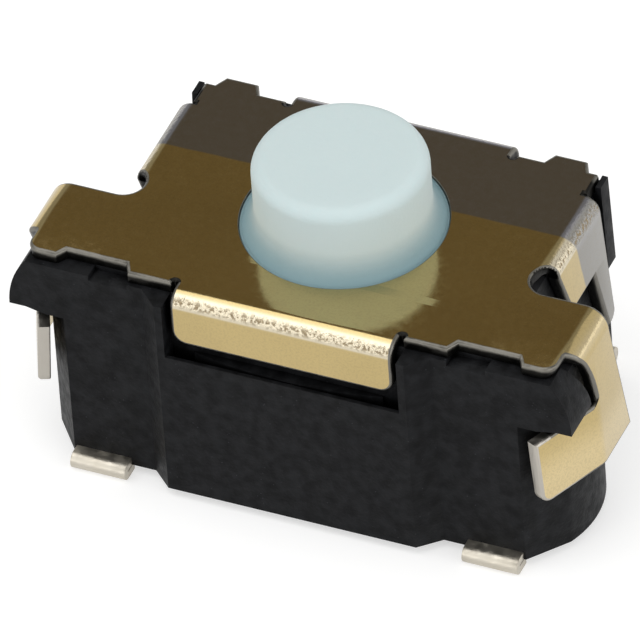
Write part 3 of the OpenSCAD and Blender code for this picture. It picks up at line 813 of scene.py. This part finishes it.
def end_outline():
    """Column and rounded end on the right, seen from above."""
    turn = math.radians(CORNER_ANGLE)
    slant = (math.cos(turn), math.sin(turn))
    off = (COLUMN_X - END_CENTRE[0], -COLUMN_Y - END_CENTRE[1])
    lean = off[0] * slant[0] + off[1] * slant[1]
    reach = math.sqrt(lean ** 2 - off[0] ** 2 - off[1] ** 2 + END_R ** 2) - lean
    meet = (off[0] + reach * slant[0], off[1] + reach * slant[1])
    start = math.degrees(math.atan2(meet[1], meet[0]))
    end = math.degrees(math.asin((-END_BACK - END_CENTRE[1]) / END_R))
    return [
        (0, -COLUMN_Y), (COLUMN_X, -COLUMN_Y),
        *arc(END_CENTRE, END_R, start, end, 24), (0, -END_BACK),
    ]


def wing_mesh():
    """Right front wing: rounded at its tip and cut back behind the edge of the end tab."""
    inner = TAB_LINE + TAB_BEND_R - WING_INSET
    lip_z = WING_BOTTOM - WING_LIP
    bottom = [(0, lip_z), ((COLUMN_X + inner) / 2, lip_z), (inner, WING_BOTTOM)]
    tip_angle = math.degrees(math.asin(WING_H / WING_TIP_R))
    front = bottom + [
        *arc((WING_TIP_X - WING_TIP_R, WING_BOTTOM), WING_TIP_R, 0, tip_angle),
        (0, COVER_UNDER),
    ]
    side = [
        (-COLUMN_Y, 0), (TAB_FRONT - WING_GAP, 0),
        *((y - WING_GAP, COVER_TOP - drop) for drop, y in reversed(tab_edge())),
        (-COLUMN_Y, COVER_TOP),
    ]
    tip = carve(
        prism(front, "y", -COLUMN_Y, -WING_BACK),
        [("INTERSECT", prism(side, "x", -EPS, WING_TIP_X + EPS))],
    )
    behind = bottom + [
        (inner, COVER_TOP - TAB_BEND_R - SMALL_STEP), (TAB_LINE - SMALL_STEP, COVER_UNDER),
        (0, COVER_UNDER),
    ]
    return carve(tip, [("UNION", prism(behind, "y", -COLUMN_Y, -WING_BACK))])


def post_outline():
    """Right rear corner post, seen from the front."""
    bottom = COVER_UNDER - POST_H
    return [
        (0, bottom), (REAR_X, bottom), (POST_TIP_X, bottom + POST_SLANT),
        (POST_TIP_X - POST_TAPER, POST_TOP), (POST_INNER_X, POST_TOP),
        (POST_INNER_X, COVER_UNDER), (0, COVER_UNDER),
    ]


def pocket_steps(side):
    """Cuts for the flange pocket at the front (-1) or the rear (1)."""
    low_y, high_y = sorted((side * POCKET_BACK, side * FAR))
    pocket = block((-POCKET_HALF_W, low_y, POCKET_FLOOR), (POCKET_HALF_W, high_y, FAR))
    front = FACE_Y - LIP
    ledge_angle = math.degrees(math.asin(LEDGE_HALF_W / LEDGE_R))
    ledge_centre = (0, FACE_Y - LEDGE_SETBACK - LEDGE_R)
    ledge = arc(ledge_centre, LEDGE_R, 90 - ledge_angle, 90 + ledge_angle, 24)
    outline = [
        (POCKET_HALF_W, POCKET_BACK), (POCKET_HALF_W, front), (-POCKET_HALF_W, front),
        (-POCKET_HALF_W, POCKET_BACK), (-LEDGE_HALF_W, POCKET_BACK),
        *reversed(ledge), (LEDGE_HALF_W, POCKET_BACK),
    ]
    outline = [(x, side * y) for x, y in outline]
    groove = prism(outline, "z", POCKET_FLOOR - GROOVE_D, POCKET_FLOOR + EPS)
    return [("DIFFERENCE", pocket), ("DIFFERENCE", groove)]


def edge_wedge(axis, low, high, edge, size, side=1):
    """The corner that a chamfer takes off a straight top edge."""
    outline = [
        (edge + side * EPS, COVER_UNDER + EPS),
        (edge - side * (size + EPS), COVER_UNDER + EPS),
        (edge + side * EPS, COVER_UNDER - size - EPS),
    ]
    return prism(outline, axis, low, high)


def chamfers():
    """Cuts that slant the rear top edge, the backs of the pockets and the side edges."""
    wedges = [edge_wedge("x", -STEP_X, STEP_X, FACE_Y, REAR_CHAMFER)]
    for side in (-1, 1):
        back = side * POCKET_BACK
        wedges.append(
            edge_wedge("x", -POCKET_HALF_W, POCKET_HALF_W, back, EDGE_CHAMFER, side)
        )
        wedges.append(edge_wedge("y", -WING_BACK, POST_FRONT, side * REAR_X, EDGE_CHAMFER, side))
    return [("DIFFERENCE", wedge) for wedge in wedges]


def make_housing():
    """The moulding, with rounded edges."""
    ends = both(prism(end_outline(), "z", UNDERSIDE, WING_BOTTOM))
    posts = both(prism(post_outline(), "y", POST_FRONT, POST_BACK))
    steps = [("UNION", m) for m in ends + both(wing_mesh()) + posts]
    steps += pocket_steps(-1) + pocket_steps(1)
    notch_low = (RECESS_X, -COLUMN_Y - EPS, COVER_UNDER - NOTCH_H)
    notch_high = (RECESS_X + NOTCH_W, NOTCH_D - COLUMN_Y, FAR)
    steps += [("DIFFERENCE", m) for m in both(block(notch_low, notch_high))]
    steps.append(("DIFFERENCE", prism(circle(CHAMBER_R, 144), "z", FLOOR_Z, FAR)))
    for x, low_y, high_y in (
        (FRONT_FOOT_X, -FAR, FOOT_COVER - COLUMN_Y),
        (REAR_FOOT_X, COLUMN_Y - FOOT_COVER, FAR),
    ):
        low = (x - FOOT_W / 2, low_y, -FAR)
        high = (x + FOOT_W / 2, high_y, UNDERSIDE + STRIP)
        steps += [("DIFFERENCE", m) for m in both(block(low, high))]
    steps += chamfers()
    bm = carve(prism(core_outline(), "z", UNDERSIDE, COVER_UNDER), steps)
    soften(bm, MOULD_ROUND)
    materials = [black_moulding()]
    piece("moulded_housing", bm, "base", ["housing"], materials)


# Button, dome and terminals

def make_button():
    """The push button, turned about its axis."""
    neck_r = HEAD_R + FLARE_W
    lip_r = HOLE_R - FLARE_GAP
    flare_z = COVER_TOP - FLARE_DROP
    flare_angle = math.degrees(math.acos(1 - FLARE_W / FLARE_R))
    flare_centre = (HEAD_R + FLARE_R, flare_z + FLARE_R * math.sin(math.radians(flare_angle)))
    roof_z = flare_z - ROOF_T
    nub_z = button_low.z
    skirt_z = nub_z + TRAVEL
    shoulder_z = COVER_UNDER - BUTTON_GAP
    shoulder_centre = (SKIRT_R - SHOULDER_ROUND, shoulder_z - SHOULDER_ROUND)
    profile = [
        (0, nub_z), (NUB_R - NUB_CHAMFER, nub_z), (NUB_R, nub_z + NUB_CHAMFER), (NUB_R, roof_z),
        (SKIRT_R - SKIRT_T, roof_z), (SKIRT_R - SKIRT_T, skirt_z), (SKIRT_R, skirt_z),
        *arc(shoulder_centre, SHOULDER_ROUND, 0, 90, 4),
        (neck_r, shoulder_z), (neck_r, flare_z - 2 * SMALL_STEP), (lip_r, flare_z - SMALL_STEP),
        (lip_r, flare_z),
        *arc(flare_centre, FLARE_R, flare_angle - 180, -180, 14),
        *arc((HEAD_R - HEAD_EDGE_R, HEAD_TOP - HEAD_EDGE_R), HEAD_EDGE_R, 0, 90, 8),
        (HEAD_RING_R, HEAD_TOP), (0, HEAD_TOP),
    ]
    turned = lathe(profile, 192)
    piece("push_button", turned, "actuator", ["button"], [blue_plastic()])


def make_dome():
    """The dished snap disc with its flat rim, made at rest, before the button flattens it."""
    cap_r = DOME_R - DOME_RIM_W
    rise = TRAVEL
    sphere_r = (cap_r ** 2 + rise ** 2) / (2 * rise)
    half = math.degrees(math.asin(cap_r / sphere_r))
    centre = (0, FLOOR_Z + rise - sphere_r)
    profile = [
        *arc(centre, sphere_r, 90, 90 - half, 16),
        (DOME_R, FLOOR_Z), (DOME_R, FLOOR_Z + DOME_T),
        *arc(centre, sphere_r + DOME_T, 90 - half, 90, 16),
    ]
    profile = [(max(0.0, r), z) for r, z in profile]
    spring = bright_strip("spring strip", SPRING, DULL_SPRING, 0.002)
    dome = piece("spring_dome", lathe(profile, 96), "base", ["snap_dome"], [spring])
    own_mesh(dome)


def foot_outline():
    """One front foot from the side: down, out along the underside and curled under."""
    curl_r = (UNDERSIDE + STRIP) / 2
    curl_y = COLUMN_Y + FOOT_REACH - curl_r
    riser_y = COLUMN_Y - FOOT_COVER
    tuck_y = COLUMN_Y - FOOT_TUCK
    centre = (-curl_y, curl_r)
    return [
        (-riser_y, FLOOR_Z), (-riser_y, UNDERSIDE + STRIP),
        *arc(centre, curl_r, 90, 270, 16), (-tuck_y, 0), (-tuck_y, STRIP),
        *arc(centre, curl_r - STRIP, 270, 90, 4), (STRIP - riser_y, UNDERSIDE),
        (STRIP - riser_y, FLOOR_Z),
    ]


def foot_pair():
    """The front and the rear foot of the terminal on the right, joined by a cranked strip."""
    half, side = FOOT_W / 2, SIDE_W / 2
    riser_y = COLUMN_Y - FOOT_COVER
    rear = [(-y, z) for y, z in foot_outline()]
    strip = [
        (FRONT_FOOT_X - side, -riser_y), (FRONT_FOOT_X + side, -riser_y),
        (FRONT_FOOT_X + side, -CRANK_Y - CRANK_L / 2), (REAR_FOOT_X + side, CRANK_L / 2 - CRANK_Y),
        (REAR_FOOT_X + side, riser_y), (REAR_FOOT_X - side, riser_y),
        (REAR_FOOT_X - side, CRANK_L / 2 - CRANK_Y), (FRONT_FOOT_X - side, -CRANK_Y - CRANK_L / 2),
    ]
    front = prism(foot_outline(), "x", FRONT_FOOT_X - half, FRONT_FOOT_X + half)
    return carve(front, [
        ("UNION", prism(rear, "x", REAR_FOOT_X - half, REAR_FOOT_X + half)),
        ("UNION", prism(strip, "z", FLOOR_Z - STRIP, FLOOR_Z)),
    ])


def make_terminals():
    """The left terminal with its ring, and the right one with its tongue and pad."""
    plated = bright_strip("plated strip", STRIP_SILVER, DULL_STRIP, 0.006)
    link = block((0, -LINK_W / 2, FLOOR_Z - STRIP), (REAR_FOOT_X, LINK_W / 2, FLOOR_Z))
    ring = prism(circle(RING_OUTER_R, 72), "z", FLOOR_Z - STRIP, FLOOR_Z)
    eye = prism(circle(RING_INNER_R, 72), "z", 0, FAR)
    outer = carve(foot_pair(), [("UNION", ring), ("UNION", link), ("DIFFERENCE", eye)])
    mirror_mesh(outer)
    soften(outer, STRIP_ROUND, least_angle=40.0, segments=2)
    tongue_z = FLOOR_Z - 3 * STRIP
    tongue = block((0, -TONGUE_W / 2, tongue_z), (REAR_FOOT_X, TONGUE_W / 2, tongue_z + STRIP))
    riser_x = REAR_FOOT_X - SIDE_W / 2
    riser = block((riser_x, -TONGUE_W / 2, tongue_z), (riser_x + STRIP, TONGUE_W / 2, FLOOR_Z))
    pad = prism(circle(PAD_R, 48), "z", tongue_z, FLOOR_Z)
    centre = carve(foot_pair(), [("UNION", tongue), ("UNION", riser), ("UNION", pad)])
    soften(centre, STRIP_ROUND, least_angle=40.0, segments=2)
    piece("left_terminal", outer, "base", ["outer_terminal"], [plated])
    piece("right_terminal", centre, "base", ["centre_terminal"], [plated])


# Studio: camera, floor and light, with lengths in metres

PHOTO_AZIMUTH, PHOTO_ELEVATION, PHOTO_ROLL = 25.924, 41.298, -4.39
# Target and distance of the camera, which are millimetres as the switch is
TARGET_X, TARGET_Z = -0.321, 1.34
PHOTO_DISTANCE = 204.985
# Focal length and width of the photograph in its own pixels
PHOTO_FOCAL, PHOTO_PIXELS = 20434.356, 640
SENSOR = 36.0
NEAR_CLIP, FAR_CLIP = 0.01, 5.0

WHITE = (1.0, 1.0, 1.0)
SKY_TONE, SKY_STRENGTH = (0.95, 0.97, 1.0), 0.55
# The table glows less for mirrors than for the camera, and not at all on what it lights
TABLE_TONE, TABLE_GLOW = (0.6, 0.6, 0.6), (0.40, 0.55)
TABLE_SIZE, TABLE_Z = 3.0, -0.002 * MM
CEILING_TONE = (0.35, 0.35, 0.34)
CEILING_SIZE, CEILING_HEIGHT = 6.0, 0.7
CARD_TONE = (0.176, 0.144, 0.09)
CARD_REACH, CARD_FADE = 0.165, 0.6
LAMP_DISTANCE = 0.45


def towards(azimuth, elevation, distance=1.0):
    """A point at a distance from the switch. Azimuth 0 is in front, and 90 on the right."""
    a, e = math.radians(azimuth), math.radians(elevation)
    aim = Vector((math.sin(a) * math.cos(e), -math.cos(a) * math.cos(e), math.sin(e)))
    return aim * distance


def make_camera():
    """The camera of the photograph, a long lens looking down on the front right corner."""
    a, roll = math.radians(PHOTO_AZIMUTH), math.radians(PHOTO_ROLL)
    back = towards(PHOTO_AZIMUTH, PHOTO_ELEVATION)
    level = Vector((math.cos(a), math.sin(a), 0))
    upright = back.cross(level)
    right = level * math.cos(roll) + upright * math.sin(roll)
    up = upright * math.cos(roll) - level * math.sin(roll)
    target = level * TARGET_X + Vector((0, 0, TARGET_Z))
    data = bpy.data.cameras.new("camera")
    data.sensor_width = SENSOR
    data.lens = SENSOR * PHOTO_FOCAL / PHOTO_PIXELS
    data.clip_start, data.clip_end = NEAR_CLIP, FAR_CLIP
    camera = bpy.data.objects.new("camera", data)
    bpy.context.scene.collection.objects.link(camera)
    turn = Matrix((right, up, back)).transposed().to_4x4()
    camera.matrix_world = Matrix.Translation((target + back * PHOTO_DISTANCE) * MM) @ turn
    bpy.context.scene.camera = camera


def seen_directly(tree):
    """1 for camera, mirror and glass rays, 0 for the rays that only carry light."""
    path = add(tree, "ShaderNodeLightPath").outputs
    shown = maths(tree, "MAXIMUM", path["Is Camera Ray"], path["Is Glossy Ray"])
    return maths(tree, "MAXIMUM", shown, path["Is Transmission Ray"])


def mix_shaders(tree, factor, first, second):
    """A node that mixes the shaders of two nodes."""
    inputs = {0: factor, 1: first.outputs[0], 2: second.outputs[0]}
    return add(tree, "ShaderNodeMixShader", inputs)


def make_world():
    """White where it is seen, a soft grey sky where it only gives light."""
    world = bpy.data.worlds.new("studio")
    bpy.context.scene.world = world
    tree = empty_tree(world)
    sky = add(tree, "ShaderNodeBackground", {"Color": (*SKY_TONE, 1), "Strength": SKY_STRENGTH})
    white = add(tree, "ShaderNodeBackground", {"Color": (*WHITE, 1), "Strength": 1.0})
    mixed = mix_shaders(tree, seen_directly(tree), sky, white)
    add(tree, "ShaderNodeOutputWorld", {"Surface": mixed.outputs[0]})


def stage_plane(name, material, size, place, turn=(0, 0, 0)):
    """A flat square that is part of the studio."""
    bpy.ops.mesh.primitive_plane_add(size=size, location=place, rotation=turn)
    plane = bpy.context.object
    plane.name = name
    plane.data.materials.append(material)


def white_table():
    """Matt white that glows where it is seen, so that only the object's shadow is grey."""
    material = bpy.data.materials.new("white table")
    tree = empty_tree(material)
    matt = add(tree, "ShaderNodeBsdfDiffuse", {"Color": (*TABLE_TONE, 1)})
    camera_ray = add(tree, "ShaderNodeLightPath").outputs["Is Camera Ray"]
    strength = ramp(tree, camera_ray, 0.0, 1.0, *TABLE_GLOW)
    glow = add(tree, "ShaderNodeEmission", {"Color": (*WHITE, 1), "Strength": strength})
    lifted = add(tree, "ShaderNodeAddShader", {0: matt.outputs[0], 1: glow.outputs[0]})
    mixed = mix_shaders(tree, seen_directly(tree), matt, lifted)
    add(tree, "ShaderNodeOutputMaterial", {"Surface": mixed.outputs[0]})
    return material


def glowing(name, tone, reach=None):
    """A material that only glows, and fades away at a given distance from its middle."""
    material = bpy.data.materials.new(name)
    tree = empty_tree(material)
    surface = add(tree, "ShaderNodeEmission", {"Color": (*tone, 1), "Strength": 1.0})
    if reach:
        middle = add(tree, "ShaderNodeTexCoord").outputs["Object"]
        away = add(tree, "ShaderNodeVectorMath", {0: middle}, operation="LENGTH")
        fade = ramp(tree, away.outputs["Value"], CARD_FADE * reach, reach)
        surface = mix_shaders(tree, fade, surface, add(tree, "ShaderNodeBsdfTransparent"))
    add(tree, "ShaderNodeOutputMaterial", {"Surface": surface.outputs[0]})
    return material


def make_planes():
    """White table, grey ceiling, and the dark card that the flat of the cover mirrors."""
    stage_plane("table", white_table(), TABLE_SIZE, (0, 0, TABLE_Z))
    grey = glowing("grey ceiling", CEILING_TONE)
    stage_plane("ceiling", grey, CEILING_SIZE, (0, 0, CEILING_HEIGHT))
    dark = glowing("dark card", CARD_TONE, CARD_REACH)
    place = towards(PHOTO_AZIMUTH + 180, PHOTO_ELEVATION, LAMP_DISTANCE)
    turn = (-place).to_track_quat("Z", "Y").to_euler()
    stage_plane("dark card", dark, 2 * CARD_REACH, place, turn)


def area_light(name, azimuth, elevation, size, radiance, shape="SQUARE"):
    """A soft box that faces the object, with a given brightness of its face."""
    place = towards(azimuth, elevation, LAMP_DISTANCE)
    data = bpy.data.lights.new(name, "AREA")
    data.shape = shape
    data.size = size
    area = size ** 2 if shape == "SQUARE" else math.pi * size ** 2 / 4
    data.energy = radiance * math.pi * area
    lamp = bpy.data.objects.new(name, data)
    bpy.context.scene.collection.objects.link(lamp)
    lamp.location = place
    lamp.rotation_mode = "QUATERNION"
    lamp.rotation_quaternion = (-place).to_track_quat("-Z", "Y")


def make_lights():
    """A wide round soft box overhead, and low ones in front, on the right and behind."""
    area_light("overhead", -75, 75, size=0.54, radiance=1.45, shape="DISK")
    area_light("front", -25, 18, size=0.55, radiance=0.95)
    area_light("right", 75, 20, size=0.50, radiance=1.4)
    area_light("behind", 140, 25, size=0.40, radiance=0.4)


make_camera()
make_world()
make_planes()
make_lights()
make_housing()
make_cover()
make_button()
make_dome()
make_terminals()

bpy.context.scene.view_settings.view_transform = "Standard"
